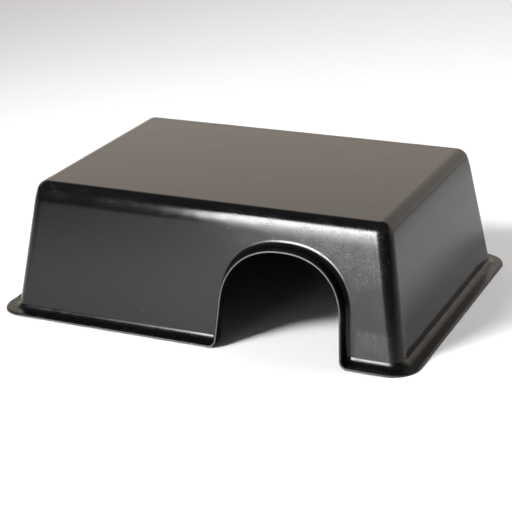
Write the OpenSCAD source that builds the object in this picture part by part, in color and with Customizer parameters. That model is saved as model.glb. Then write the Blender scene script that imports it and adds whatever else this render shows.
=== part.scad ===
// Ground bait station: a one-piece thermoformed cover stands over a bait tray.
// Frame: +Z up, origin on the floor under the middle of the cover, doorway towards -Y.

/* [Cover] */
// Length of the walls where they meet the floor, along X
cover_l = 514; // [440:1:620]
// Width of the walls where they meet the floor, along Y
cover_w = 358; // [320:1:440]
// Height from the floor to the flat top
cover_h = 163; // [140:1:200]
// Lean of every wall from the vertical, in degrees
wall_draft = 9.1; // [6:0.1:12]
// Thickness of the formed sheet
sheet_t = 3; // [2.4:0.1:3.6]
// Width of the foot flange outside the walls
flange_w = 17; // [14:0.5:22]
// Radius of the upright corners, outside
corner_r = 17; // [15:0.5:24]
// Radius between the walls and the top, outside
top_r = 16; // [12:0.5:16]
// Radius where a wall turns out into the flange
fold_r = 6; // [4:0.5:7]
// Rounding of the flange's upper rim
rim_r = 2; // [1:0.1:2.2]

/* [Doorway] */
// Distance from the right-hand end wall to the middle of the doorway
door_from_end = 148; // [130:1:170]
// Width of the opening at the floor
door_w = 155; // [120:1:170]
// Width of the opening where the jambs turn into the arch
door_spring_w = 149; // [116:1:164]
// Height where the jambs turn into the arch
door_spring_h = 50; // [36:1:60]
// Distance from the crown of the arch up to the top of the cover
door_head_h = 39.5; // [34:0.5:50]
// How far the crown of the arch leans towards the right-hand end
door_lean = 2; // [0:0.5:4]
// Squareness of the arch, where 2 is an ellipse
door_power = 2.25; // [2:0.05:2.8]
// Clearance inside the radius where a jamb turns into the flange
door_foot_gap = 2; // [1:0.5:4]

/* [Tray] */
// Width of the tray, along X
tray_w = 172; // [150:1:200]
// Gap between the tray and the cover's end and side walls, at the rim
tray_gap = 16; // [12:1:30]
// Height of the tray, from the floor to its rim
tray_h = 30; // [26:1:36]
// Wall and floor thickness of the tray
tray_t = 3; // [2.4:0.1:3.6]
// Radius of the tray's upright corners
tray_r = 12; // [8:0.5:16]
// How far the rim stands out from the tray's walls
tray_rim = 4; // [2:0.5:6]
// Clear width of the loose-bait compartment
dish_w = 46; // [40:1:56]
// Height of the rib between the two compartments
rib_h = 20; // [14:1:24]
// Height of the rubber feet below the tray
foot_h = 5; // [4.5:0.5:8]
// Diameter of a rubber foot
foot_d = 16; // [12:0.5:18]
// Diameter of the stem that is pushed through the tray
stem_d = 6; // [4:0.5:7]

/* [Bait rods] */
// Diameter of the steel rods
rod_d = 5; // [4:0.5:6]
// Distance between the two rods
rod_pitch = 50; // [46:1:54]
// Thickness of a bait block, across the rod
block_s = 27; // [22:1:30]
// Clear height under the blocks
block_lift = 20; // [14:1:24]
// Radial clearance between a rod and a block
block_play = 0.4; // [0.2:0.1:1]
// Gap between one block and the next
block_gap = 1.5; // [1:0.5:3]
// Length of the collar at each end of a row of blocks
collar_l = 6; // [4:0.5:8]
// Outside diameter of a collar
collar_d = 13; // [11:0.5:16]
// Distance between the last collar and the bracket
collar_room = 12; // [8:1:16]
// Radius of the bend at the lifting end of a rod
rod_bend_r = 8; // [7:0.5:10]
// Height of the upturned end above the rod
rod_grip_h = 24; // [18:1:28]
// How far the ends of a rod stop short of the tray's outer edge
rod_in = 6; // [4:1:10]

/* [Brackets] */
// Thickness of the bracket plates
plate_t = 4; // [3:0.5:5]
// Gap between a bracket and the rib or the button of a foot beside it
bracket_side = 2; // [1:0.5:3]
// Depth of the bracket's foot
bracket_foot = 17; // [16:0.5:20]
// Gap between the bracket's foot and the tray's wall
bracket_gap = 2.5; // [2:0.5:5]
// Clearance on each side of a rod in its slot
slot_play = 0.4; // [0.3:0.1:0.8]
// Plate left above the axis of a rod
slot_h = 9; // [7:0.5:12]
// Diameter of the bracket screws
screw_d = 4; // [3:0.5:4]
// Clearance around a screw
screw_play = 0.25; // [0.2:0.05:0.4]

/* [Hidden] */
$fn = 48;
blocks_per_rod = 4;
rods = ["left", "right"];
ends = ["front", "back"];

// Cover
half_l = cover_l / 2;
half_w = cover_w / 2;
slope = tan(wall_draft);
corner_steps = 7;
fold_steps = 5;
rim_steps = 3;
top_steps = 7;
tip_r = 0.8;                                   // plan radius of the corners of the flat top
top_z = cover_h - top_r;                       // height of the centre of the top radius
// Doorway
door_x = half_l - door_from_end;
door_h = cover_h - door_head_h;
door_foot_r = sheet_t + fold_r + door_foot_gap;
door_run = 4;                                  // straight flange beside each jamb
arch_steps = 40;
jamb_steps = 4;
foot_steps = 8;
// Tray
tray_z = foot_h;
tray_floor = tray_z + tray_t;
rim_slope = tray_h * slope;
tray_x0 = sheet_t + tray_gap + rim_slope - half_l;
tray_x1 = tray_x0 + tray_w;
tray_half = half_w - sheet_t - tray_gap - rim_slope;
tray_in = tray_rim + tray_t;                   // from the rim's edge to the inside
rib_x = tray_x1 - tray_in - dish_w - tray_t;
foot_in = tray_in + foot_d / 2 - 1;            // place of a foot from the rim's edges
stem_play = 0.1;
button_h = 1.6;
button_d = stem_d + 3;
// Rods and blocks
rod_z = tray_floor + block_lift + block_s / 2;
rod_mid = (tray_x0 + tray_in + rib_x) / 2;
rod_x = [rod_mid - rod_pitch / 2, rod_mid + rod_pitch / 2];
foot_y = tray_half - tray_in - bracket_gap;    // outer edge of a bracket's foot
plate_y = foot_y - bracket_foot;               // outer face of a bracket's plate
collar_y = plate_y - plate_t - collar_room;    // outer face of a collar
stack_half = collar_y - collar_l - block_gap;
block_l = (2 * stack_half - (blocks_per_rod - 1) * block_gap) / blocks_per_rod;
block_y = [for (i = [0:blocks_per_rod - 1]) -stack_half + block_l / 2 + i * (block_l + block_gap)];
block_corner = 5;
groove_r = 1.6;
groove_pitch = 6;
collar_play = 0.05;
rod_end = tray_half - rod_in;
// Brackets and screws
bracket_x0 = tray_x0 + foot_in + button_d / 2 + bracket_side;
bracket_x1 = rib_x - bracket_side;
screw_x = [bracket_x0 + 2 * screw_d, bracket_x1 - 2 * screw_d];
screw_y = (foot_y + plate_y) / 2;
screw_top = tray_floor + plate_t;
head_d = 2 * screw_d;
head_h = 0.7 * screw_d;
drive_w = 0.9 * screw_d;
drive_t = 0.8;
nut_af = 1.75 * screw_d;
nut_h = 0.75 * screw_d;
screw_end = 0.4;
// Eight named blocks, four collars, four feet, four screws and four nuts
block_names = [for (r = rods, i = [1:blocks_per_rod]) str("bait_block_", r, "_", i)];

// ---- Cover --------------------------------------------------------------------------------

// Points of an arc, from one angle to another
function arc(c, r, a0, a1, n) = [for (i = [0:n]) let (a = a0 + (a1 - a0) * i / n) c + r * [cos(a), sin(a)]];
function reversed(list) = [for (i = [len(list) - 1:-1:0]) list[i]];

// The sheet where it turns from a wall into the flange, as [height above the flange's underside,
// distance out from the wall's face]: first the outside, then the underside
fold_c = [sheet_t + fold_r, fold_r];
fold_outside = concat(
    arc(fold_c, fold_r, 270, 180, fold_steps),
    arc([sheet_t - rim_r, flange_w - rim_r], rim_r, 0, 90, rim_steps)
);
fold_inside = concat([[0, flange_w]], arc(fold_c, fold_r + sheet_t, 180, 270, fold_steps));

// Edge of the doorway from left to right, as [across, up]: flange, foot of the jamb, jamb, arch
// and down again
door_side = concat(
    [[-(door_w / 2 + door_foot_r + door_run), 0]],
    arc([-(door_w / 2 + door_foot_r), door_foot_r], door_foot_r, -90, 0, foot_steps),
    [
        for (i = [1:jamb_steps - 1])
            let (k = i / jamb_steps)
            [-(door_w + (door_spring_w - door_w) * k) / 2, door_foot_r + (door_spring_h - door_foot_r) * k]
    ]
);
door_arch = [
    for (i = [0:arch_steps])
        let (a = 180 * i / arch_steps, c = cos(a), s = sin(a))
        [
            -sign(c) * door_spring_w / 2 * pow(abs(c), 2 / door_power),
            door_spring_h + (door_h - door_spring_h) * pow(s, 2 / door_power)
        ]
];
door_edge = [
    for (p = concat(door_side, door_arch, [for (p = reversed(door_side)) [-p[0], p[1]]]))
        p + [door_lean * p[1] / door_h, 0]
];
door_n = len(door_edge);
// Direction from the opening into the sheet, at each point of that edge
door_normal = [
    for (i = [0:door_n - 1])
        let (d = door_edge[min(i + 1, door_n - 1)] - door_edge[max(i - 1, 0)], u = d / norm(d))
        (i == 0 || i == door_n - 1) ? [0, 1] : [-u[1], u[0]]
];

// A level of the cover: a rectangle with round corners, moved out from the foot of the walls
function level(out, z, r) = [
    for (q = [0:3]) for (i = [0:corner_steps])
        let (a = 90 * (q + i / corner_steps), sx = (q == 0 || q == 3) ? 1 : -1, sy = (q < 2) ? 1 : -1)
        [sx * (half_l + out - r) + r * cos(a), sy * (half_w + out - r) + r * sin(a), z]
];
ring_n = 4 * (corner_steps + 1);
front_at = 3 * (corner_steps + 1); // the doorway's points come before this one

// The same at a point p of the fold, with its front side led up and over the doorway
function fold_level(p) =
    let (ring = level(p[1] - p[0] * slope, p[0], corner_r + p[1]))
    concat(
        [for (i = [0:front_at - 1]) ring[i]],
        [
            for (i = [0:door_n - 1])
                let (q = door_edge[i] + p[0] * door_normal[i])
                [door_x + q[0], q[1] * slope - p[1] - half_w, q[1]]
        ],
        [for (i = [front_at:ring_n - 1]) ring[i]]
    );

// Levels of the radius between a wall and the top, for the face that lies out from the wall's
// outside by out
function top_levels(r, out) =
    let (inset = top_z * slope + r / cos(wall_draft) - out)
    [
        for (p = arc([-inset, top_z], r, wall_draft, 90, top_steps))
            level(p[0], p[1], max(corner_r + out - (r * cos(wall_draft) - p[0] - inset), tip_r))
    ];

// Faces between two levels that start at points a and b
function strip(a, b, n) = [
    for (i = [0:n - 1])
        let (j = (i + 1) % n)
        each [[a + i, b + i, b + j], [a + i, b + j, a + j]]
];
// Faces of the four walls, from a plain level at a to a fold level at b. The front one is two
// fans, which meet over the crown of the arch.
function walls(a, b) =
    let (crown = front_at + floor(door_n / 2), left = a + front_at - 1, right = a + front_at)
    concat(
        [
            for (i = [0:ring_n - 1])
                let (j = (i + 1) % ring_n)
                let (bi = b + i + (i < front_at ? 0 : door_n), bj = b + j + (j < front_at ? 0 : door_n))
                each (i == front_at - 1) ? [] : [[a + i, bi, bj], [a + i, bj, a + j]]
        ],
        [for (k = [front_at - 1:crown - 1]) [left, b + k, b + k + 1]],
        [[left, b + crown, right]],
        [for (k = [crown:front_at + door_n - 1]) [right, b + k, b + k + 1]]
    );

// One formed sheet: ceiling, inside of the walls, underside of the flange, rim, outside and top
module cover_shell() {
    fold_n = ring_n + door_n;
    fold = [for (p = concat(reversed(fold_inside), reversed(fold_outside))) fold_level(p)];
    inside = reversed(top_levels(top_r - sheet_t, -sheet_t));
    outside = top_levels(top_r, 0);
    fold_0 = len(inside) * ring_n;
    outside_0 = fold_0 + len(fold) * fold_n;
    last = outside_0 + top_steps * ring_n;
    faces = concat(
        [[for (i = [0:ring_n - 1]) i]],
        [for (a = [0:ring_n:(top_steps - 1) * ring_n]) each strip(a, a + ring_n, ring_n)],
        walls(fold_0 - ring_n, fold_0),
        [for (k = [0:len(fold) - 2]) each strip(fold_0 + k * fold_n, fold_0 + (k + 1) * fold_n, fold_n)],
        [for (f = walls(outside_0, outside_0 - fold_n)) reversed(f)],
        [for (a = [outside_0:ring_n:last - ring_n]) each strip(a, a + ring_n, ring_n)],
        [[for (i = [ring_n - 1:-1:0]) last + i]]
    );
    color("#2c2c2e")
        polyhedron([for (l = concat(inside, fold, outside)) each l], faces, convexity = 12);
}

// ---- Tray ---------------------------------------------------------------------------------

// A flat slab with round upright corners, between two corner points
module slab(x0, x1, half, z0, z1, r) {
    translate([0, 0, z0])
        linear_extrude(z1 - z0) {
            translate([x0 + r, -half]) square([x1 - x0 - 2 * r, 2 * half]);
            translate([x0, -half + r]) square([x1 - x0, 2 * half - 2 * r]);
            for (x = [x0 + r, x1 - r], y = [-half + r, half - r]) translate([x, y]) circle(r);
        }
}

tray_feet = [
    for (y = [foot_in - tray_half, tray_half - foot_in], x = [tray_x0 + foot_in, tray_x1 - foot_in]) [x, y]
];
screws = [for (y = [-screw_y, screw_y], x = screw_x) [x, y]];

module bait_tray() {
    inner_r = max(tray_r - tray_in, 3);
    wall_half = tray_half - tray_rim;
    in0 = tray_x0 + tray_in;
    in1 = tray_x1 - tray_in;
    in_half = tray_half - tray_in;
    color("#37393b")
        difference() {
            union() {
                slab(tray_x0 + tray_rim, tray_x1 - tray_rim, wall_half, tray_z, tray_h, tray_r - tray_rim);
                slab(tray_x0, tray_x1, tray_half, tray_h - tray_t, tray_h, tray_r);
            }
            slab(in0, rib_x, in_half, tray_floor, tray_h + 1, inner_r);
            slab(rib_x + tray_t, in1, in_half, tray_floor, tray_h + 1, inner_r);
            translate([rib_x - 1, -in_half + inner_r, tray_floor + rib_h])
                cube([tray_t + 2, 2 * (in_half - inner_r), tray_h]);
            for (p = tray_feet) translate([p[0], p[1], 0]) cylinder(h = tray_h, d = stem_d + 2 * stem_play);
            for (p = screws) translate([p[0], p[1], 0]) cylinder(h = tray_h, d = screw_d + 2 * screw_play);
        }
}

module tray_foot(i) {
    color("#1d1d1d")
        translate([tray_feet[i][0], tray_feet[i][1], 0]) {
            cylinder(h = tray_z, d1 = foot_d - 2, d2 = foot_d);
            cylinder(h = tray_floor, d = stem_d);
            translate([0, 0, tray_floor]) cylinder(h = button_h, d1 = button_d, d2 = button_d - 2);
        }
}

// ---- Brackets, screws and nuts ------------------------------------------------------------

// A plate with two open slots for the rods, on a foot that is screwed to the tray; side is -1
// for the front bracket and 1 for the back one
module rod_bracket(side) {
    slot_w = rod_d + 2 * slot_play;
    plate_top = rod_z + slot_h;
    color("#8f9396")
        difference() {
            union() {
                translate([bracket_x0, side > 0 ? plate_y - plate_t : -plate_y, tray_floor])
                    cube([bracket_x1 - bracket_x0, plate_t, plate_top - tray_floor]);
                translate([bracket_x0, side > 0 ? plate_y - plate_t : -foot_y, tray_floor])
                    cube([bracket_x1 - bracket_x0, bracket_foot + plate_t, plate_t]);
            }
            for (x = rod_x) {
                translate([x, side * (plate_y + 1), rod_z])
                    rotate([90 * side, 0, 0])
                        cylinder(h = plate_t + 2, d = slot_w);
                translate([x - slot_w / 2, side > 0 ? plate_y - plate_t - 1 : -plate_y - 1, rod_z])
                    cube([slot_w, plate_t + 2, slot_h + 1]);
                translate([x, side * (plate_y + 1), plate_top])
                    rotate([90 * side, 0, 0])
                        cylinder(h = plate_t + 2, r = slot_w, $fn = 4);
            }
            for (p = screws) translate([p[0], p[1], 0]) cylinder(h = tray_h, d = screw_d + 2 * screw_play);
        }
}

module bracket_screw(i) {
    color("#b9bcbf")
        translate([screws[i][0], screws[i][1], 0])
            difference() {
                union() {
                    translate([0, 0, screw_end]) cylinder(h = screw_top - screw_end, d = screw_d);
                    translate([0, 0, screw_top]) cylinder(h = head_h, d1 = head_d, d2 = head_d - 1.6);
                }
                for (a = [0, 90])
                    translate([0, 0, screw_top + head_h])
                        rotate([0, 0, a])
                            cube([2 * drive_w, drive_t, head_h], center = true);
            }
}

module bracket_nut(i) {
    color("#b9bcbf")
        translate([screws[i][0], screws[i][1], tray_z - nut_h])
            difference() {
                cylinder(h = nut_h, d = nut_af / cos(30), $fn = 6);
                translate([0, 0, -1]) cylinder(h = nut_h + 2, d = screw_d);
            }
}

// ---- Bait rods ----------------------------------------------------------------------------

// A straight rod with its front end bent up as a grip
module bait_rod(r) {
    color("#a9adb0")
        translate([rod_x[r], 0, rod_z]) {
            translate([0, rod_end, 0]) rotate([90, 0, 0]) cylinder(h = 2 * rod_end - rod_bend_r, d = rod_d);
            translate([0, rod_end, 0]) sphere(d = rod_d);
            translate([0, rod_bend_r - rod_end, rod_bend_r])
                rotate([0, 90, 0])
                    rotate([0, 0, -90])
                        rotate_extrude(angle = 90) translate([rod_bend_r, 0]) circle(d = rod_d);
            translate([0, -rod_end, rod_bend_r]) {
                cylinder(h = rod_grip_h - rod_bend_r, d = rod_d);
                translate([0, 0, rod_grip_h - rod_bend_r]) sphere(d = rod_d);
            }
        }
}

module rod_collar(r, side) {
    color("#d8d5c8")
        translate([rod_x[r], side * collar_y, rod_z])
            rotate([90 * side, 0, 0])
                difference() {
                    cylinder(h = collar_l, d = collar_d);
                    translate([0, 0, -1]) cylinder(h = collar_l + 2, d = rod_d + 2 * collar_play);
                }
}

// A pressed wax block with gnawing grooves along its four sides
module bait_block(r, i) {
    s = block_s / 2;
    c = block_corner;
    color("#3f8f86")
        translate([rod_x[r], block_y[i] + block_l / 2, rod_z])
            rotate([90, 0, 0])
                linear_extrude(block_l)
                    difference() {
                        union() {
                            square([block_s, block_s - 2 * c], center = true);
                            square([block_s - 2 * c, block_s], center = true);
                            for (x = [-1, 1], y = [-1, 1]) translate([x * (s - c), y * (s - c)]) circle(c);
                        }
                        circle(d = rod_d + 2 * block_play);
                        for (a = [0:90:270], k = [-1, 1])
                            rotate(a) translate([s, k * groove_pitch / 2]) circle(groove_r);
                    }
}

cover_shell();
bait_tray();
for (e = [0, 1])
    rod_bracket(2 * e - 1);
for (r = [0, 1])
    bait_rod(r);
for (r = [0, 1], e = [0, 1])
    rod_collar(r, 2 * e - 1);
for (r = [0, 1], i = [0:blocks_per_rod - 1])
    bait_block(r, i);
for (i = [0:3]) {
    tray_foot(i);
    bracket_screw(i);
    bracket_nut(i);
}
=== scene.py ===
import math

import bmesh
import bpy
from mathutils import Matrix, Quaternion, Vector
from mathutils.noise import noise as noise_at


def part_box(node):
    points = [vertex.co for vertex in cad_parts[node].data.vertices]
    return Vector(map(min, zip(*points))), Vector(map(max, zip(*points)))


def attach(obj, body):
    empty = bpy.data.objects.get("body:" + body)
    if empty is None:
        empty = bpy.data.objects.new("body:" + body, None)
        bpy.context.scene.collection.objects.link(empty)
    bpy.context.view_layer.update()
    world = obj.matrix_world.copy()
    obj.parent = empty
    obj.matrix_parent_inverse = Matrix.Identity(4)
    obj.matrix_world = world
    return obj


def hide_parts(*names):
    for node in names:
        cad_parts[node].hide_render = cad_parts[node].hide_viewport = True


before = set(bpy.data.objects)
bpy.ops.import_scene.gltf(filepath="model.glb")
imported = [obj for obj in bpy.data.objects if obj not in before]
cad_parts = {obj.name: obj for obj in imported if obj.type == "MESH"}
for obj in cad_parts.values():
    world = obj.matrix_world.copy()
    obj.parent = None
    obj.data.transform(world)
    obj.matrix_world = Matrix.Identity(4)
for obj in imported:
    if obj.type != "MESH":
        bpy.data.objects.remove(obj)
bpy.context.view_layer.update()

MM = 0.001

# ---- Studio -------------------------------------------------------------------------------
# A pale table top under soft light: a tall softbox to the front and left that draws the bright
# line along the cover's edge, a higher key lamp with a narrow beam for the shadows, a fill lamp
# behind, and a pale card along the back of a dark room. None of it is the object.


def on_sphere(azimuth, elevation):
    """Unit vector towards a point round the object; azimuth 0 is in front, 90 to the right."""
    a, e = math.radians(azimuth), math.radians(elevation)
    return Vector((math.sin(a) * math.cos(e), -math.cos(a) * math.cos(e), math.sin(e)))


camera_aim = Vector((-3.9, 0.0, 38.5)) * MM
camera_back = on_sphere(25.32, 21.84)
camera_distance = 1.955
camera_roll = math.radians(-2.04)
camera_data = bpy.data.cameras.new("camera")
camera_data.lens = 107.4
camera_data.sensor_width = 36.0
camera = bpy.data.objects.new("camera", camera_data)
camera.location = camera_aim + camera_back * camera_distance
camera.rotation_mode = "QUATERNION"
camera.rotation_quaternion = (-camera_back).to_track_quat("-Z", "Y") @ Quaternion((0, 0, 1), camera_roll)
bpy.context.collection.objects.link(camera)
bpy.context.scene.camera = camera
bpy.context.scene.view_settings.view_transform = "Standard"


def softbox(name, azimuth, elevation, distance, width, height, power):
    """A rectangular lamp that looks at the middle of the object."""
    lamp = bpy.data.lights.new(name, "AREA")
    lamp.shape = "RECTANGLE"
    lamp.size, lamp.size_y = width, height
    lamp.energy = power
    out = on_sphere(azimuth, elevation)
    holder = bpy.data.objects.new(name, lamp)
    holder.location = out * distance
    holder.rotation_mode = "QUATERNION"
    holder.rotation_quaternion = (-out).to_track_quat("-Z", "Y")
    bpy.context.collection.objects.link(holder)
    return holder


window = softbox("window", azimuth=-14, elevation=20, distance=6.0, width=2.3, height=3.5, power=1650)
window.visible_diffuse = False
key = softbox("key", azimuth=-34, elevation=40, distance=4.0, width=1.1, height=1.1, power=24)
key.visible_glossy = False
key.data.spread = math.radians(46)
fill = softbox("fill", azimuth=160, elevation=60, distance=5.0, width=2.6, height=2.6, power=160)
fill.visible_glossy = False


def new_material(name):
    """A node material with its tree emptied down to a Principled shader, as (material, tree, shader)."""
    material = bpy.data.materials.new(name)
    material.use_nodes = True
    tree = material.node_tree
    return material, tree, tree.nodes["Principled BSDF"]


def maths(tree, operation, *values):
    """A Math node on numbers or outputs."""
    node = tree.nodes.new("ShaderNodeMath")
    node.operation = operation
    for socket, value in zip(node.inputs, values):
        if isinstance(value, bpy.types.NodeSocket):
            tree.links.new(value, socket)
        else:
            socket.default_value = value
    return node.outputs[0]


def ramp(tree, value, low, high):
    """0 where value is low, 1 where it is high, smooth between."""
    node = tree.nodes.new("ShaderNodeMapRange")
    node.interpolation_type = "SMOOTHSTEP"
    tree.links.new(value, node.inputs["Value"])
    turned = low > high
    node.inputs["From Min"].default_value = min(low, high)
    node.inputs["From Max"].default_value = max(low, high)
    node.inputs["To Min"].default_value = 1.0 if turned else 0.0
    node.inputs["To Max"].default_value = 0.0 if turned else 1.0
    return node.outputs["Result"]


floor_half = 8.0
floor_mesh = bpy.data.meshes.new("table_top")
floor_mesh.from_pydata(
    [(x * floor_half, y * floor_half, -0.3 * MM) for y in (-1, 1) for x in (-1, 1)], [], [(0, 1, 3, 2)]
)
floor = bpy.data.objects.new("table_top", floor_mesh)
bpy.context.collection.objects.link(floor)
floor_paint, floor_tree, floor_shader = new_material("pale_table")
floor_shader.inputs["Base Color"].default_value = (0.66, 0.66, 0.67, 1)
floor_shader.inputs["Roughness"].default_value = 0.7
floor_mesh.materials.append(floor_paint)

world = bpy.data.worlds.new("studio")
world.use_nodes = True
bpy.context.scene.world = world
sky = world.node_tree
for node in list(sky.nodes):
    sky.nodes.remove(node)
sky_out = sky.nodes.new("ShaderNodeOutputWorld")
sky_mix = sky.nodes.new("ShaderNodeMixShader")
sky_path = sky.nodes.new("ShaderNodeLightPath")
sky_seen = sky.nodes.new("ShaderNodeBackground")
sky_seen.inputs["Color"].default_value = (1, 1, 1, 1)
sky_seen.inputs["Strength"].default_value = 1.1
sky_lit = sky.nodes.new("ShaderNodeBackground")
sky_lit.inputs["Strength"].default_value = 1.0
sky_where = sky.nodes.new("ShaderNodeTexCoord")
sky_split = sky.nodes.new("ShaderNodeSeparateXYZ")
sky.links.new(sky_where.outputs["Generated"], sky_split.inputs["Vector"])
sky_high = ramp(sky, sky_split.outputs["Z"], 0.60, 0.44)
sky_back = ramp(sky, sky_split.outputs["Y"], -0.1, 0.5)
sky_ramp = sky.nodes.new("ShaderNodeValToRGB")
sky_ramp.color_ramp.elements[0].color = (0.17, 0.17, 0.18, 1)
sky_ramp.color_ramp.elements[1].color = (1.22, 1.08, 0.95, 1)
sky.links.new(maths(sky, "MULTIPLY", sky_high, sky_back), sky_ramp.inputs["Fac"])
sky.links.new(sky_ramp.outputs["Color"], sky_lit.inputs["Color"])
sky.links.new(sky_path.outputs["Is Camera Ray"], sky_mix.inputs["Fac"])
sky.links.new(sky_lit.outputs["Background"], sky_mix.inputs[1])
sky.links.new(sky_seen.outputs["Background"], sky_mix.inputs[2])
sky.links.new(sky_mix.outputs["Shader"], sky_out.inputs["Surface"])

# ---- Cover --------------------------------------------------------------------------------
# One black plastic sheet, drawn down hot over a male mould, so that its corners are round and
# its walls lean. The flange round its foot was trimmed by a router, and it runs on up and over
# the doorway as a short turned-out lip.

shell_low, shell_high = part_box("cover_shell")
flange_w = 17 * MM
half_l = shell_high[0] - flange_w
half_w = shell_high[1] - flange_w
cover_h = shell_high[2]
wall_lean = math.radians(9.1)
slope = math.tan(wall_lean)
sheet_t = 3 * MM
corner_r = 17 * MM
top_r = 16 * MM
tip_r = 0.8 * MM
fold_r = 6 * MM
rim_r = 2 * MM
burr_r = 0.4 * MM
door_x = half_l - 148 * MM
door_w = 155 * MM
door_spring_w = 149 * MM
door_spring_h = 50 * MM
door_h = cover_h - 39.5 * MM
door_lean = 2 * MM
door_power = 2.25
door_foot_r = sheet_t + fold_r + 2 * MM
door_run = 4 * MM
ease = math.radians(5)  # the last stretch of a wall turns this much before the top radius
ease_h = 15 * MM
beside = 0.8 * MM  # a second loop of points this far from each bend keeps the flats flat


def arc(centre, radius, start, stop, steps):
    """Points of an arc, angles in degrees."""
    angles = [math.radians(start + (stop - start) * i / steps) for i in range(steps + 1)]
    return [(centre[0] + radius * math.cos(a), centre[1] + radius * math.sin(a)) for a in angles]


# The sheet where a wall turns out into the flange, as (height above the flange's underside,
# distance out from the wall's face)
fold_c = (sheet_t + fold_r, fold_r)
outside_of_fold = (
    [(fold_c[0] + beside, 0.0)]
    + arc(fold_c, fold_r, 270, 180, 12)
    + [(sheet_t, fold_r + beside), (sheet_t, flange_w - rim_r - beside)]
    + arc((sheet_t - rim_r, flange_w - rim_r), rim_r, 0, 90, 6)
)
inside_of_fold = (
    arc((burr_r, flange_w - burr_r), burr_r, 90, 180, 3)
    + [(0.0, flange_w - burr_r - beside), (0.0, fold_r + beside)]
    + arc(fold_c, fold_r + sheet_t, 180, 270, 12)
    + [(fold_c[0] + beside, -sheet_t)]
)
fold = inside_of_fold[::-1] + outside_of_fold[::-1]

# Edge of the doorway from left to right, as (across, up): flange, foot, jamb, arch and down
foot_c = (-(door_w / 2 + door_foot_r), door_foot_r)
jamb = [
    (-(door_w + (door_spring_w - door_w) * k) / 2, door_foot_r + (door_spring_h - door_foot_r) * k)
    for k in (0.02, 0.25, 0.5, 0.75, 0.98)
]
door_left = [(foot_c[0] - door_run, 0.0), (foot_c[0] - beside, 0.0)]
door_left += arc(foot_c, door_foot_r, -90, 0, 14) + jamb
arch_steps = 96
arch = []
for i in range(arch_steps + 1):
    a = math.pi * i / arch_steps
    c, s = math.cos(a), math.sin(a)
    across = -math.copysign(door_spring_w / 2 * abs(c) ** (2 / door_power), c)
    arch.append((across, door_spring_h + (door_h - door_spring_h) * max(s, 0.0) ** (2 / door_power)))
door_edge = [
    (u + door_lean * z / door_h, z) for u, z in door_left + arch + [(-u, z) for u, z in reversed(door_left)]
]
door_out = []
for i in range(len(door_edge)):
    ahead, behind = door_edge[min(i + 1, len(door_edge) - 1)], door_edge[max(i - 1, 0)]
    run = Vector((ahead[0] - behind[0], ahead[1] - behind[1])).normalized()
    door_out.append((-run.y, run.x) if 0 < i < len(door_edge) - 1 else (0.0, 1.0))

corner_steps = 16


def level(out, z, r):
    """Loop of points round the cover, moved out from the foot of the walls, with corner radius r."""
    loop = []
    for quarter, (sx, sy) in enumerate(((1, 1), (-1, 1), (-1, -1), (1, -1))):
        cx, cy = sx * (half_l + out - r), sy * (half_w + out - r)
        bend = arc((cx, cy), r, 90 * quarter, 90 * quarter + 90, corner_steps)
        first, last = Vector(bend[0]), Vector(bend[-1])
        c, s = math.cos(math.radians(90 * quarter)), math.sin(math.radians(90 * quarter))
        run_in = Vector((s, -c)) * beside
        run_out = Vector((-c, -s)) * beside
        loop += [tuple(first + run_in)] + bend + [tuple(last + run_out)]
    return [(x, y, z) for x, y in loop]


loop_n = 4 * (corner_steps + 3)
front_at = 3 * (corner_steps + 3)  # the doorway's points come before this one


def fold_level(point):
    """Loop at a point of the fold, with its front side led up and over the doorway."""
    height, out = point
    loop = level(out - height * slope, height, corner_r + out)
    over_door = []
    for (u, z), (nu, nz) in zip(door_edge, door_out):
        up = z + height * nz
        over_door.append((door_x + u + height * nu, up * slope - out - half_w, up))
    return loop[:front_at] + over_door + loop[front_at:]


def top_levels(r, out):
    """Loops where a wall eases into the top radius, round it, and just inside the flat top."""
    centre_z = cover_h - r - (sheet_t if out < 0 else 0)
    turn_z = centre_z + r * math.sin(wall_lean + ease)
    turn_x = out - turn_z * slope - ease * ease_h / 2
    loops = []
    for k in (0, 0.05, 0.25, 0.5, 0.75):
        z = turn_z - ease_h * (1 - k)
        loops.append(level(out - z * slope - ease * ease_h / 2 * k * k, z, corner_r + out))
    centre_x = turn_x - r * math.cos(wall_lean + ease)
    bend = arc((centre_x, centre_z), r, math.degrees(wall_lean + ease), 90, 14)
    plan = [max(corner_r + out - (turn_x - x), tip_r) for x, _ in bend]
    loops += [level(x, z, p) for (x, z), p in zip(bend, plan)]
    return loops + [level(bend[-1][0] - beside, bend[-1][1], tip_r)]


ceiling = top_levels(top_r - sheet_t, -sheet_t)[::-1]
top = top_levels(top_r, 0.0)
loops = ceiling + [fold_level(p) for p in fold] + top
starts = [sum(len(loop) for loop in loops[:k]) for k in range(len(loops))]
points = [p for loop in loops for p in loop]
door_n = len(door_edge)
faces = [tuple(range(loop_n))]
for k in range(len(loops) - 1):
    a, b, na, nb = starts[k], starts[k + 1], len(loops[k]), len(loops[k + 1])
    if na == nb:
        faces += [(a + i, b + i, b + (i + 1) % nb, a + (i + 1) % na) for i in range(na)]
        continue
    # a wall, between a loop that ignores the doorway and one that is led over it: on the front
    # side two fans meet over the crown of the arch
    plain, led, turned = (a, b, False) if na < nb else (b, a, True)
    patch = []
    for i in range(loop_n):
        j = (i + 1) % loop_n
        if i != front_at - 1:
            led_i, led_j = (led + n + (door_n if n >= front_at else 0) for n in (i, j))
            patch.append((plain + i, led_i, led_j, plain + j))
    crown = front_at + door_n // 2
    left, right = plain + front_at - 1, plain + front_at
    patch += [(left, led + n, led + n + 1) for n in range(front_at - 1, crown)]
    patch.append((left, led + crown, right))
    patch += [(right, led + n, led + n + 1) for n in range(crown, front_at + door_n)]
    faces += [tuple(reversed(f)) for f in patch] if turned else patch
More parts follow.
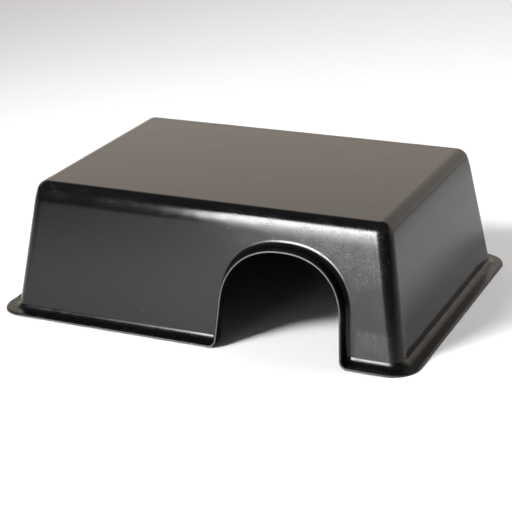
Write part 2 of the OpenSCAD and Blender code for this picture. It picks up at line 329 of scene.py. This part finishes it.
faces.append(tuple(reversed(range(starts[-1], starts[-1] + loop_n))))

# Loops that lie inside the cover, on the router's cut, and on the edges that get rubbed
inner_levels = len(ceiling) + len(inside_of_fold) - 5
rim_level = len(ceiling) + len(inside_of_fold)
cut_levels = range(rim_level - 2, rim_level + 2)
top_level = len(ceiling) + len(fold)
rubbed_levels = [*range(rim_level + 2, rim_level + 7), *range(top_level + 5, top_level + 14)]


def piece(name, points, faces, material, smooth=True):
    """A mesh object at the origin with its place in its mesh."""
    mesh = bpy.data.meshes.new(name)
    mesh.from_pydata([tuple(p) for p in points], [], faces)
    mesh.validate()
    mesh.materials.append(material)
    made = bpy.data.objects.new(name, mesh)
    bpy.context.collection.objects.link(made)
    mesh.polygons.foreach_set("use_smooth", [smooth] * len(mesh.polygons))
    return made


def turn_out(made):
    """Turn every face of a closed mesh outwards."""
    work = bmesh.new()
    work.from_mesh(made.data)
    bmesh.ops.recalc_face_normals(work, faces=work.faces)
    work.to_mesh(made.data)
    work.free()


def put_attribute(made, name, values):
    """Store one number for each point of a mesh."""
    made.data.attributes.new(name, "FLOAT", "POINT").data.foreach_set("value", values)


# Shader helpers: each adds one node and hands back its output


def at(tree):
    """Place on the object in millimetres."""
    where = tree.nodes.new("ShaderNodeTexCoord")
    scale = tree.nodes.new("ShaderNodeVectorMath")
    scale.operation = "SCALE"
    scale.inputs["Scale"].default_value = 1000.0
    tree.links.new(where.outputs["Object"], scale.inputs[0])
    return scale.outputs["Vector"]


def mix_colour(tree, factor, a, b):
    """Mix two colours, each a triple or an output."""
    node = tree.nodes.new("ShaderNodeMix")
    node.data_type = "RGBA"
    tree.links.new(factor, node.inputs["Factor"])
    for name, value in (("A", a), ("B", b)):
        socket = next(i for i in node.inputs if i.name == name and i.type == "RGBA")
        if isinstance(value, bpy.types.NodeSocket):
            tree.links.new(value, socket)
        else:
            socket.default_value = (*value, 1)
    return next(o for o in node.outputs if o.type == "RGBA")


def noise(tree, position, scale, detail=3.0, roughness=0.55):
    """Noise with its scale in parts per millimetre."""
    node = tree.nodes.new("ShaderNodeTexNoise")
    tree.links.new(position, node.inputs["Vector"])
    if isinstance(scale, bpy.types.NodeSocket):
        tree.links.new(scale, node.inputs["Scale"])
    else:
        node.inputs["Scale"].default_value = scale
    node.inputs["Detail"].default_value = detail
    node.inputs["Roughness"].default_value = roughness
    return node.outputs["Fac"]


def stretch(tree, position, x, y, z):
    """Scale a place along each axis."""
    node = tree.nodes.new("ShaderNodeVectorMath")
    node.operation = "MULTIPLY"
    tree.links.new(position, node.inputs[0])
    node.inputs[1].default_value = (x, y, z)
    return node.outputs["Vector"]


def attribute(tree, name):
    """A number stored on the mesh."""
    node = tree.nodes.new("ShaderNodeAttribute")
    node.attribute_name = name
    return node.outputs["Fac"]


def new_group(name, inputs, outputs):
    """An empty shader node group, as (tree, its input sockets by name, its output node)."""
    group = bpy.data.node_groups.new(name, "ShaderNodeTree")
    for label, kind, value in inputs:
        socket = group.interface.new_socket(label, in_out="INPUT", socket_type=kind)
        if kind == "NodeSocketFloat":
            socket.default_value = value
    for label, kind in outputs:
        group.interface.new_socket(label, in_out="OUTPUT", socket_type=kind)
    entry = group.nodes.new("NodeGroupInput")
    return group, entry.outputs, group.nodes.new("NodeGroupOutput")


def use_group(tree, group, **values):
    """Put a node group in a material and set its inputs."""
    node = tree.nodes.new("ShaderNodeGroup")
    node.node_tree = group
    for name, value in values.items():
        if isinstance(value, bpy.types.NodeSocket):
            tree.links.new(value, node.inputs[name])
        else:
            node.inputs[name].default_value = value
    return node


# Scuffs: patches of fine rubbing, broken up so that no two places look alike
scuffs_group, given, result = new_group(
    "scuffs",
    [("Position", "NodeSocketVector", None), ("Size", "NodeSocketFloat", 3.0)],
    [("Mask", "NodeSocketFloat")],
)
per_mm = maths(scuffs_group, "DIVIDE", 1.0, given["Size"])
patches = noise(scuffs_group, given["Position"], maths(scuffs_group, "MULTIPLY", per_mm, 0.12))
broad = ramp(scuffs_group, patches, 0.38, 0.66)
fine = ramp(scuffs_group, noise(scuffs_group, given["Position"], per_mm, 8.0, 0.72), 0.42, 0.62)
scuffs_group.links.new(maths(scuffs_group, "MULTIPLY", broad, fine), result.inputs["Mask"])

# Streaks: short faint scrapes, mostly up and down the walls, some across them
streaks_group, given, result = new_group(
    "streaks",
    [
        ("Position", "NodeSocketVector", None),
        ("Length", "NodeSocketFloat", 20.0),
        ("Spacing", "NodeSocketFloat", 2.5),
    ],
    [("Mask", "NodeSocketFloat")],
)
split = streaks_group.nodes.new("ShaderNodeSeparateXYZ")
streaks_group.links.new(given["Position"], split.inputs["Vector"])
masks = []
for long_axis, cover_low, cover_high in (("Z", 0.61, 0.80), ("X", 0.62, 0.80)):
    joined = streaks_group.nodes.new("ShaderNodeCombineXYZ")
    for axis in "XYZ":
        span = given["Length"] if axis == long_axis else given["Spacing"]
        shrunk = maths(streaks_group, "DIVIDE", split.outputs[axis], span)
        streaks_group.links.new(shrunk, joined.inputs[axis])
    drawn_out = noise(streaks_group, joined.outputs["Vector"], 1.0, 4.0, 0.6)
    masks.append(ramp(streaks_group, drawn_out, cover_low, cover_high))
streaks_group.links.new(maths(streaks_group, "MAXIMUM", *masks), result.inputs["Mask"])

# Dust: small pale specks, one here and there
dust_group, given, result = new_group(
    "dust",
    [
        ("Position", "NodeSocketVector", None),
        ("Spacing", "NodeSocketFloat", 9.0),
        ("Size", "NodeSocketFloat", 0.4),
    ],
    [("Mask", "NodeSocketFloat")],
)
cells = dust_group.nodes.new("ShaderNodeTexVoronoi")
dust_group.links.new(given["Position"], cells.inputs["Vector"])
dust_group.links.new(maths(dust_group, "DIVIDE", 1.0, given["Spacing"]), cells.inputs["Scale"])
away = maths(dust_group, "MULTIPLY", cells.outputs["Distance"], given["Spacing"])
near = maths(dust_group, "LESS_THAN", away, given["Size"])
picked = dust_group.nodes.new("ShaderNodeSeparateColor")
dust_group.links.new(cells.outputs["Color"], picked.inputs["Color"])
some = maths(dust_group, "GREATER_THAN", picked.outputs["Red"], 0.55)
dust_group.links.new(maths(dust_group, "MULTIPLY", near, some), result.inputs["Mask"])

# Relief: the slow waviness of a formed surface with a fine grain on it, heights in millimetres
relief_group, given, result = new_group(
    "relief",
    [
        ("Position", "NodeSocketVector", None),
        ("Wave", "NodeSocketFloat", 0.1),
        ("Grain", "NodeSocketFloat", 0.01),
        ("Pitch", "NodeSocketFloat", 1.0),
    ],
    [("Normal", "NodeSocketVector")],
)
slow = maths(relief_group, "MULTIPLY", noise(relief_group, given["Position"], 0.03, 1.0), given["Wave"])
grain = noise(relief_group, given["Position"], maths(relief_group, "DIVIDE", 1.0, given["Pitch"]), 4.0)
height = maths(relief_group, "MULTIPLY_ADD", grain, given["Grain"], slow)
bump = relief_group.nodes.new("ShaderNodeBump")
bump.inputs["Distance"].default_value = MM
relief_group.links.new(height, bump.inputs["Height"])
relief_group.links.new(bump.outputs["Normal"], result.inputs["Normal"])

cover_plastic, tree, shader = new_material("black_sheet")
position = at(tree)
worn = use_group(tree, scuffs_group, Position=position, Size=2.4)
streaks = use_group(tree, streaks_group, Position=position, Length=22.0, Spacing=2.4)
dust = use_group(tree, dust_group, Position=position, Spacing=9.0, Size=0.35)
facing = tree.nodes.new("ShaderNodeNewGeometry")
facing_split = tree.nodes.new("ShaderNodeSeparateXYZ")
tree.links.new(facing.outputs["True Normal"], facing_split.inputs["Vector"])
place = tree.nodes.new("ShaderNodeSeparateXYZ")
tree.links.new(position, place.inputs["Vector"])
# feet and noses rub the front wall between the doorway and the right-hand corner; the rubbed area
# grows to the right and towards the top to follow the window's highlight down the wall
rub_and_highlight_side = ramp(tree, place.outputs["X"], -60.0, 190.0)
rubbed_front = ramp(tree, facing_split.outputs["Y"], -0.6, -0.9)
rub_and_highlight_high = maths(tree, "MULTIPLY_ADD", ramp(tree, place.outputs["Z"], 60.0, 150.0), 0.5, 0.5)
rubbed = maths(tree, "MULTIPLY", maths(tree, "MULTIPLY", rub_and_highlight_side, rubbed_front), rub_and_highlight_high)
worn_low = ramp(tree, place.outputs["Z"], 44.0, 36.0)
worn_right = ramp(tree, place.outputs["X"], 196.0, 202.0)
worn_patch = maths(tree, "MULTIPLY", maths(tree, "MULTIPLY", worn_low, worn_right), rubbed_front)
rub_depth = maths(tree, "MULTIPLY_ADD", rubbed, 0.10, 0.03)
shine_loss = maths(tree, "MULTIPLY", worn.outputs["Mask"], rub_depth)
rub_marks = maths(tree, "MULTIPLY", rubbed, noise(tree, position, 0.35, 8.0, 0.75))
shine_loss = maths(tree, "MULTIPLY_ADD", rub_marks, 0.34, shine_loss)
shine_loss = maths(tree, "MULTIPLY_ADD", streaks.outputs["Mask"], 0.05, shine_loss)
shine_loss = maths(tree, "MULTIPLY_ADD", worn_patch, 0.10, shine_loss)
cut_edge = attribute(tree, "trimmed")
handled = attribute(tree, "rubbed")
inner = attribute(tree, "inside")
roughness = maths(tree, "ADD", shine_loss, 0.09)
# grime from the ground dulls the flange
grime = noise(tree, position, 0.09, 5.0, 0.6)
grimy = maths(tree, "MULTIPLY", ramp(tree, place.outputs["Z"], 9.0, 5.0), grime)
roughness = maths(tree, "MULTIPLY_ADD", grimy, 0.35, roughness)
roughness = maths(tree, "MULTIPLY_ADD", cut_edge, 0.30, roughness)
roughness = maths(tree, "MULTIPLY_ADD", inner, 0.22, roughness)
tree.links.new(roughness, shader.inputs["Roughness"])
pale = maths(tree, "MULTIPLY", streaks.outputs["Mask"], 0.045)
# partly painted highlight: the scuffs' pale lift in the rubbed area lightens the upper right of the front
# wall
pale = maths(tree, "MULTIPLY_ADD", maths(tree, "MULTIPLY", worn.outputs["Mask"], rubbed), 0.02, pale)
pale = maths(tree, "MULTIPLY_ADD", maths(tree, "MULTIPLY", handled, worn.outputs["Mask"]), 0.03, pale)
pale = maths(tree, "MULTIPLY_ADD", cut_edge, 0.17, pale)
pale = maths(tree, "MAXIMUM", pale, dust.outputs["Mask"])
colour = mix_colour(tree, pale, (0.0015, 0.0015, 0.0017), (0.20, 0.20, 0.20))
tree.links.new(colour, shader.inputs["Base Color"])
shader.inputs["IOR"].default_value = 1.34
relief = use_group(tree, relief_group, Position=position, Wave=0.12, Grain=0.006, Pitch=0.8)
tree.links.new(relief.outputs["Normal"], shader.inputs["Normal"])

cover = piece("cover", points, faces, cover_plastic)
for label, levels in (("trimmed", cut_levels), ("rubbed", rubbed_levels), ("inside", range(inner_levels))):
    put_attribute(cover, label, [float(k in levels) for k, loop in enumerate(loops) for _ in loop])
turn_out(cover)
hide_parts("cover_shell")
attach(cover, "cover")

# ---- Tray ---------------------------------------------------------------------------------
# Moulded in a dark grey plastic with a fine matt grain, in one piece with the rib between its two
# compartments. Every edge has a small radius from the mould.


def node_object(node):
    """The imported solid's own object."""
    return bpy.data.objects[node]


def softened(name, node, body, material, width, angle=32):
    """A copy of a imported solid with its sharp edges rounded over."""
    mesh = bpy.data.meshes.new_from_object(node_object(node))
    work = bmesh.new()
    work.from_mesh(mesh)
    bmesh.ops.remove_doubles(work, verts=work.verts, dist=0.002 * MM)
    bmesh.ops.dissolve_limit(work, angle_limit=math.radians(0.6), verts=work.verts, edges=work.edges)
    sharp = [e for e in work.edges if len(e.link_faces) == 2 and e.calc_face_angle() > math.radians(angle)]
    bmesh.ops.bevel(
        work,
        geom=sharp,
        offset=width * MM,
        offset_type="OFFSET",
        segments=2,
        profile=0.5,
        affect="EDGES",
        clamp_overlap=True,
    )
    bmesh.ops.triangulate(work, faces=[f for f in work.faces if len(f.verts) > 4])
    bmesh.ops.recalc_face_normals(work, faces=work.faces)
    work.to_mesh(mesh)
    work.free()
    mesh.materials.clear()
    mesh.materials.append(material)
    made = bpy.data.objects.new(name, mesh)
    bpy.context.collection.objects.link(made)
    mesh.polygons.foreach_set("use_smooth", [True] * len(mesh.polygons))
    mesh.set_sharp_from_angle(angle=math.radians(50))
    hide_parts(node)
    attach(made, body)
    return made


tray_plastic, tree, shader = new_material("grey_moulding")
position = at(tree)
worn = use_group(tree, scuffs_group, Position=position, Size=2.0)
dust = use_group(tree, dust_group, Position=position, Spacing=5.0, Size=0.45)
mottle = noise(tree, position, 0.02, 2.0)
colour = mix_colour(tree, mottle, (0.030, 0.032, 0.034), (0.040, 0.042, 0.044))
colour = mix_colour(tree, maths(tree, "MULTIPLY", worn.outputs["Mask"], 0.35), colour, (0.11, 0.11, 0.11))
colour = mix_colour(tree, maths(tree, "MULTIPLY", dust.outputs["Mask"], 0.6), colour, (0.16, 0.30, 0.27))
tree.links.new(colour, shader.inputs["Base Color"])
tree.links.new(maths(tree, "MULTIPLY_ADD", worn.outputs["Mask"], 0.12, 0.46), shader.inputs["Roughness"])
relief = use_group(tree, relief_group, Position=position, Wave=0.05, Grain=0.030, Pitch=0.5)
tree.links.new(relief.outputs["Normal"], shader.inputs["Normal"])
softened("tray", "bait_tray", "tray", tray_plastic, 0.5)

# ---- Brackets -----------------------------------------------------------------------------
# Two folded steel plates, zinc plated, whose open slots carry the rods. The plating has gone
# dull in cloudy patches, with the odd fine scratch.

bracket_steel, tree, shader = new_material("dull_zinc")
position = at(tree)
cloud = ramp(tree, noise(tree, position, 0.09, 4.0), 0.36, 0.64)
worn = use_group(tree, streaks_group, Position=position, Length=9.0, Spacing=0.5)
colour = mix_colour(tree, cloud, (0.36, 0.37, 0.38), (0.56, 0.57, 0.57))
colour = mix_colour(tree, maths(tree, "MULTIPLY", worn.outputs["Mask"], 0.5), colour, (0.70, 0.71, 0.72))
tree.links.new(colour, shader.inputs["Base Color"])
shader.inputs["Metallic"].default_value = 1.0
tree.links.new(maths(tree, "MULTIPLY_ADD", cloud, -0.14, 0.50), shader.inputs["Roughness"])
relief = use_group(tree, relief_group, Position=position, Wave=0.04, Grain=0.012, Pitch=0.35)
tree.links.new(relief.outputs["Normal"], shader.inputs["Normal"])
for end in ("front", "back"):
    softened(f"bracket_{end}", f"rod_bracket_{end}", "tray", bracket_steel, 0.4)

# ---- Rods and collars ---------------------------------------------------------------------
# Drawn steel rods, each with its front end bent up as a grip to lift it by. A push-on nylon
# collar at each end keeps the row of bait blocks together.

rod_steel, tree, shader = new_material("drawn_steel")
position = at(tree)
drawn = noise(tree, stretch(tree, position, 2.6, 0.05, 2.6), 1.0, 5.0, 0.65)
spots = ramp(tree, noise(tree, position, 0.42, 4.0), 0.64, 0.74)
colour = mix_colour(tree, drawn, (0.42, 0.42, 0.43), (0.62, 0.62, 0.62))
colour = mix_colour(tree, maths(tree, "MULTIPLY", spots, 0.55), colour, (0.20, 0.13, 0.09))
tree.links.new(colour, shader.inputs["Base Color"])
tree.links.new(maths(tree, "MULTIPLY_ADD", spots, -0.5, 1.0), shader.inputs["Metallic"])
roughness = maths(tree, "MULTIPLY_ADD", drawn, 0.22, 0.18)
tree.links.new(maths(tree, "MULTIPLY_ADD", spots, 0.3, roughness), shader.inputs["Roughness"])
relief = use_group(tree, relief_group, Position=position, Wave=0.0, Grain=0.008, Pitch=0.4)
tree.links.new(relief.outputs["Normal"], shader.inputs["Normal"])

collar_plastic, tree, shader = new_material("natural_nylon")
position = at(tree)
milk = noise(tree, position, 0.25, 3.0)
tree.links.new(mix_colour(tree, milk, (0.60, 0.57, 0.47), (0.72, 0.69, 0.59)), shader.inputs["Base Color"])
tree.links.new(maths(tree, "MULTIPLY_ADD", milk, 0.15, 0.34), shader.inputs["Roughness"])
shader.inputs["Subsurface Weight"].default_value = 0.25
shader.inputs["Subsurface Scale"].default_value = 3 * MM
shader.inputs["Subsurface Radius"].default_value = (1.0, 0.9, 0.7)
relief = use_group(tree, relief_group, Position=position, Wave=0.0, Grain=0.010, Pitch=0.6)
tree.links.new(relief.outputs["Normal"], shader.inputs["Normal"])
for side in ("left", "right"):
    rod = node_object(f"bait_rod_{side}")
    for k in range(len(rod.material_slots)):
        rod.material_slots[k].material = rod_steel
    for end in ("front", "back"):
        name = f"rod_collar_{side}_{end}"
        softened(f"collar_{side}_{end}", name, f"rod_{side}", collar_plastic, 0.5)

# ---- Rubber feet --------------------------------------------------------------------------
# Four black rubber feet, each with a stem pulled up through the tray to a small button.

foot_rubber, tree, shader = new_material("black_rubber")
position = at(tree)
bloom = ramp(tree, noise(tree, position, 0.3, 4.0), 0.40, 0.66)
colour = mix_colour(tree, bloom, (0.012, 0.012, 0.012), (0.034, 0.033, 0.032))
tree.links.new(colour, shader.inputs["Base Color"])
tree.links.new(maths(tree, "MULTIPLY_ADD", bloom, 0.10, 0.62), shader.inputs["Roughness"])
relief = use_group(tree, relief_group, Position=position, Wave=0.0, Grain=0.04, Pitch=0.45)
tree.links.new(relief.outputs["Normal"], shader.inputs["Normal"])
for n in range(1, 5):
    softened(f"foot_{n}", f"tray_foot_{n}", "tray", foot_rubber, 0.5)

# ---- Bracket screws -----------------------------------------------------------------------
# Four zinc-plated M4 pan-head machine screws, rolled threads and a pressed cross recess, that
# hold the brackets down through the tray. They were driven home, so their crosses point anyhow.


def node_centre(node):
    """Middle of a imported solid's box."""
    low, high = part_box(node)
    return (Vector(low) + Vector(high)) / 2


def turned(name, rings, material, capped=True):
    """A mesh through rings of points; open rings are capped, closed ones join last to first."""
    n = len(rings[0])
    points = [p for ring in rings for p in ring]
    span = len(rings) - 1 if capped else len(rings)
    faces = []
    for k in range(span):
        a, b = k * n, (k + 1) % len(rings) * n
        faces += [(a + i, a + (i + 1) % n, b + (i + 1) % n, b + i) for i in range(n)]
    if capped:
        faces += [tuple(range(n)), tuple(reversed(range((len(rings) - 1) * n, len(rings) * n)))]
    made = piece(name, points, faces, material)
    turn_out(made)
    return made


def set_out(name, one, start, along, along_n, across, across_n, turn, seed, material):
    """Copies of one mesh in rows, each turned a little at random, as a single plain mesh."""
    holder = bpy.data.objects.new(name, bpy.data.meshes.new(name))
    bpy.context.collection.objects.link(holder)
    rows = holder.modifiers.new("rows", "NODES")
    rows.node_group = rows_group
    wanted = {
        "One": one,
        "Start": start,
        "Along": along,
        "Along count": along_n,
        "Across": across,
        "Across count": across_n,
        "Turn": turn,
        "Seed": seed,
        "Material": material,
    }
    for socket in rows_group.interface.items_tree:
        if socket.item_type == "SOCKET" and socket.in_out == "INPUT" and socket.name in wanted:
            rows[socket.identifier] = wanted[socket.name]
    depsgraph = bpy.context.evaluated_depsgraph_get()
    plain = bpy.data.meshes.new_from_object(holder.evaluated_get(depsgraph))
    holder.modifiers.remove(rows)
    holder.data = plain
    bpy.data.objects.remove(one)
    plain.set_sharp_from_angle(angle=math.radians(38))
    return holder


# Rows of one piece: a line of points repeated across, a copy on each, each turned at random
rows_group = bpy.data.node_groups.new("rows_of_one_piece", "GeometryNodeTree")
for label, kind in (
    ("One", "NodeSocketObject"),
    ("Start", "NodeSocketVector"),
    ("Along", "NodeSocketVector"),
    ("Along count", "NodeSocketInt"),
    ("Across", "NodeSocketVector"),
    ("Across count", "NodeSocketInt"),
    ("Turn", "NodeSocketVector"),
    ("Seed", "NodeSocketInt"),
    ("Material", "NodeSocketMaterial"),
):
    rows_group.interface.new_socket(label, in_out="INPUT", socket_type=kind)
rows_group.interface.new_socket("Geometry", in_out="OUTPUT", socket_type="NodeSocketGeometry")
given = rows_group.nodes.new("NodeGroupInput").outputs
result = rows_group.nodes.new("NodeGroupOutput")
link = rows_group.links.new
line = rows_group.nodes.new("GeometryNodeMeshLine")
link(given["Along count"], line.inputs["Count"])
link(given["Start"], line.inputs["Start Location"])
link(given["Along"], line.inputs["Offset"])
across = rows_group.nodes.new("GeometryNodeMeshLine")
link(given["Across count"], across.inputs["Count"])
link(given["Across"], across.inputs["Offset"])
lines = rows_group.nodes.new("GeometryNodeInstanceOnPoints")
link(across.outputs["Mesh"], lines.inputs["Points"])
link(line.outputs["Mesh"], lines.inputs["Instance"])
places = rows_group.nodes.new("GeometryNodeRealizeInstances")
link(lines.outputs["Instances"], places.inputs["Geometry"])
source = rows_group.nodes.new("GeometryNodeObjectInfo")
link(given["One"], source.inputs["Object"])
least = rows_group.nodes.new("ShaderNodeVectorMath")
least.operation = "SCALE"
least.inputs["Scale"].default_value = -1.0
link(given["Turn"], least.inputs[0])
turn = rows_group.nodes.new("FunctionNodeRandomValue")
turn.data_type = "FLOAT_VECTOR"
link(least.outputs["Vector"], turn.inputs["Min"])
link(given["Turn"], turn.inputs["Max"])
link(given["Seed"], turn.inputs["Seed"])
copies = rows_group.nodes.new("GeometryNodeInstanceOnPoints")
link(places.outputs["Geometry"], copies.inputs["Points"])
link(source.outputs["Geometry"], copies.inputs["Instance"])
link(turn.outputs["Value"], copies.inputs["Rotation"])
solid = rows_group.nodes.new("GeometryNodeRealizeInstances")
link(copies.outputs["Instances"], solid.inputs["Geometry"])
paint = rows_group.nodes.new("GeometryNodeSetMaterial")
link(solid.outputs["Geometry"], paint.inputs["Geometry"])
link(given["Material"], paint.inputs["Material"])
link(paint.outputs["Geometry"], result.inputs["Geometry"])

fastener_steel, tree, shader = new_material("bright_zinc")
position = at(tree)
cloud = noise(tree, position, 0.8, 3.0)
tree.links.new(mix_colour(tree, cloud, (0.50, 0.50, 0.50), (0.70, 0.69, 0.66)), shader.inputs["Base Color"])
shader.inputs["Metallic"].default_value = 1.0
tree.links.new(maths(tree, "MULTIPLY_ADD", cloud, 0.20, 0.22), shader.inputs["Roughness"])
relief = use_group(tree, relief_group, Position=position, Wave=0.0, Grain=0.006, Pitch=0.25)
tree.links.new(relief.outputs["Normal"], shader.inputs["Normal"])

screw_r = 2.0 * MM
thread_pitch = 0.7 * MM
thread_deep = 0.4 * MM
head_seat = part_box("rod_bracket_front")[0][2] + 4 * MM
shank = head_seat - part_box("bracket_screw_1")[0][2]
sides = 32
rings = []
for k in range(int(shank / (thread_pitch / 7)) + 1):
    z = -shank + k * thread_pitch / 7
    ring = []
    for i in range(sides):
        a = 2 * math.pi * i / sides
        phase = (z / thread_pitch - i / sides) % 1.0
        tip = min(1.0, (z + shank) / (0.6 * MM) * 0.3 + 0.7)
        r = (screw_r - 0.03 * MM - thread_deep * abs(2 * phase - 1) * (z < -1.2 * MM)) * tip
        ring.append((r * math.cos(a), r * math.sin(a), z))
    rings.append(ring)
head_side = [(1.97, 0.0), (3.7, 0.0), (3.95, 0.12), (4.0, 0.4), (3.94, 1.1)]
head_dome = [(3.7, 1.75), (3.2, 2.25), (2.4, 2.6), (1.2, 2.78)]
for r, z in head_side + head_dome:
    ring = []
    for i in range(sides):
        a = 2 * math.pi * i / sides
        ring.append((r * MM * math.cos(a), r * MM * math.sin(a), z * MM + 0.02 * MM))
    rings.append(ring)
screw = turned("one_screw", rings, fastener_steel)
arm, half = 2.1 * MM, 0.42 * MM
plus = [(arm, -half), (arm, half), (half, half), (half, arm), (-half, arm), (-half, half)]
plus += [(-x, -y) for x, y in plus]
cut_rings = [[(x * k, y * k, z * MM) for x, y in plus] for k, z in ((0.45, 1.2), (1.0, 2.6), (1.15, 3.4))]
cutter = turned("cross_punch", cut_rings, fastener_steel)
punch = screw.modifiers.new("cross", "BOOLEAN")
punch.object = cutter
punch.solver = "EXACT"
cut = bpy.data.meshes.new_from_object(screw.evaluated_get(bpy.context.evaluated_depsgraph_get()))
screw.modifiers.remove(punch)
screw.data = cut
bpy.data.objects.remove(cutter)
first, second, third = (node_centre(f"bracket_screw_{n}") for n in (1, 2, 3))
screws = set_out(
    "bracket_screws",
    screw,
    start=(first.x, first.y, head_seat),
    along=second - first,
    along_n=2,
    across=third - first,
    across_n=2,
    turn=(0, 0, 1.5),
    seed=4,
    material=fastener_steel,
)
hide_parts(*[f"bracket_screw_{n}" for n in range(1, 5)])
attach(screws, "tray")

# ---- Bracket nuts -------------------------------------------------------------------------
# Plain hexagon nuts on the screws' ends, under the tray, their corners chamfered both sides.

nut_low, nut_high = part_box("bracket_nut_1")
nut_h = nut_high[2] - nut_low[2]
flat = 3.5 * MM
sides = 48
rings = []
chamfer = [(0.0, 3.3), (0.12, 3.52), (0.30, 3.83), (0.46, 4.1), (0.5, 9)]
for z, cap in chamfer + [(2.5, 9), (2.54, 4.1), (2.70, 3.83), (2.88, 3.52), (3.0, 3.3)]:
    ring = []
    for i in range(sides):
        a = 2 * math.pi * i / sides
        hexagon = flat / math.cos((a % (math.pi / 3)) - math.pi / 6)
        r = min(hexagon, cap * MM)
        ring.append((r * math.cos(a), r * math.sin(a), z / 3 * nut_h))
    rings.append(ring)
for z, r in ((3.0, 2.3), (2.75, 2.0), (0.25, 2.0), (0.0, 2.3)):
    turns = [2 * math.pi * i / sides for i in range(sides)]
    rings.append([(r * MM * math.cos(a), r * MM * math.sin(a), z / 3 * nut_h) for a in turns])
nut = turned("one_nut", rings, fastener_steel, capped=False)
nuts = set_out(
    "bracket_nuts",
    nut,
    start=(first.x, first.y, nut_low[2]),
    along=second - first,
    along_n=2,
    across=third - first,
    across_n=2,
    turn=(0, 0, 0),
    seed=1,
    material=fastener_steel,
)
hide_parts(*[f"bracket_nut_{n}" for n in range(1, 5)])
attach(nuts, "tray")

# ---- Bait blocks --------------------------------------------------------------------------
# Grain and coloured wax pressed in a mould to a square block, with a hole down the middle for
# the rod, and two grooves along each side that give teeth an edge to start on.

bait_wax, tree, shader = new_material("pressed_wax")
position = at(tree)
grains = tree.nodes.new("ShaderNodeTexVoronoi")
tree.links.new(position, grains.inputs["Vector"])
grains.inputs["Scale"].default_value = 0.36
grain_tint = tree.nodes.new("ShaderNodeSeparateColor")
tree.links.new(grains.outputs["Color"], grain_tint.inputs["Color"])
smear = noise(tree, position, 0.10, 3.0)
colour = mix_colour(tree, smear, (0.030, 0.170, 0.150), (0.050, 0.235, 0.205))
grain_here = maths(
    tree,
    "MULTIPLY",
    maths(tree, "GREATER_THAN", grain_tint.outputs["Red"], 0.66),
    ramp(tree, grains.outputs["Distance"], 0.52, 0.34),
)
grain_colour = mix_colour(tree, grain_tint.outputs["Green"], (0.30, 0.30, 0.17), (0.20, 0.36, 0.25))
colour = mix_colour(tree, maths(tree, "MULTIPLY", grain_here, 0.75), colour, grain_colour)
tree.links.new(colour, shader.inputs["Base Color"])
tree.links.new(maths(tree, "MULTIPLY_ADD", grain_here, 0.25, 0.42), shader.inputs["Roughness"])
shader.inputs["Subsurface Weight"].default_value = 0.12
shader.inputs["Subsurface Scale"].default_value = 2 * MM
shader.inputs["Subsurface Radius"].default_value = (0.5, 1.0, 0.9)
lumps = tree.nodes.new("ShaderNodeBump")
lumps.inputs["Distance"].default_value = 0.25 * MM
tree.links.new(maths(tree, "MULTIPLY", grains.outputs["Distance"], -1.0), lumps.inputs["Height"])
tree.links.new(lumps.outputs["Normal"], shader.inputs["Normal"])

block_low, block_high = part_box("bait_block_left_1")
block_half = (block_high[0] - block_low[0]) / 2
block_l = block_high[1] - block_low[1]
block_corner = 5 * MM
groove_r = 1.6 * MM
groove_at = 3 * MM
hole_r = 2.9 * MM
rounding = 1.4 * MM
outline = []
outline_n = 144
for i in range(outline_n):
    a = 2 * math.pi * i / outline_n
    # a square with round corners, met by a ray at this angle, less the grooves in each side
    c, s = abs(math.cos(a)), abs(math.sin(a))
    side = block_half / max(c, s)
    k = block_half - block_corner
    b = k * (c + s)
    corner = b + math.sqrt(max(b * b - 2 * k * k + block_corner * block_corner, 0.0))
    r = min(side, corner) if min(c, s) * side > k else side
    along_side = min(c, s) * r
    groove = groove_r * groove_r - (along_side - groove_at) ** 2
    if groove > 0:
        r -= math.sqrt(groove) / max(c, s)
    outline.append((r * math.cos(a), r * math.sin(a)))
rings = []
for y, inset in (
    [(0.0, k) for k in (0.72, 0.5, 0.3, 0.12)]
    + [(rounding * (1 - math.cos(t)), None) for t in (0.0, 0.4, 0.8, 1.2, math.pi / 2)]
    + [(rounding + (block_l - 2 * rounding) * k / 36, None) for k in range(1, 36)]
    + [(block_l - rounding * (1 - math.cos(t)), None) for t in (math.pi / 2, 1.2, 0.8, 0.4, 0.0)]
    + [(block_l, k) for k in (0.12, 0.3, 0.5, 0.72)]
    + [(block_l, 1.0), (0.0, 1.0)]
):
    end = min(y, block_l - y)
    ring = []
    for i, (x, z) in enumerate(outline):
        r = math.hypot(x, z)
        pull = rounding - math.sqrt(max(rounding**2 - (rounding - min(end, rounding)) ** 2, 0.0))
        want = r - pull
        if inset is not None:
            want = hole_r + (r - rounding - hole_r) * (1 - inset)
        p = Vector((x / r * want, y - block_l / 2, z / r * want))
        if inset != 1.0:
            rough = noise_at(p / (2.6 * MM)) * 0.5 + noise_at(p / (1.1 * MM) + Vector((7, 3, 5))) * 0.5
            dent = 0.16 * MM * (1 + rough)
            if inset is None:
                p -= Vector((p.x, 0, p.z)).normalized() * dent
            else:
                p -= Vector((0, math.copysign(dent, p.y), 0))
        ring.append(tuple(p))
    rings.append(ring)
for side in ("left", "right"):
    block = turned("one_block", rings, bait_wax, capped=False)
    first, second = (node_centre(f"bait_block_{side}_{n}") for n in (1, 2))
    blocks = set_out(
        f"bait_blocks_{side}",
        block,
        start=first,
        along=second - first,
        along_n=4,
        across=(0, 0, 0),
        across_n=1,
        turn=(0, 0.06, 0),
        seed=11 if side == "left" else 12,
        material=bait_wax,
    )
    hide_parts(*[f"bait_block_{side}_{n}" for n in range(1, 5)])
    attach(blocks, f"rod_{side}")
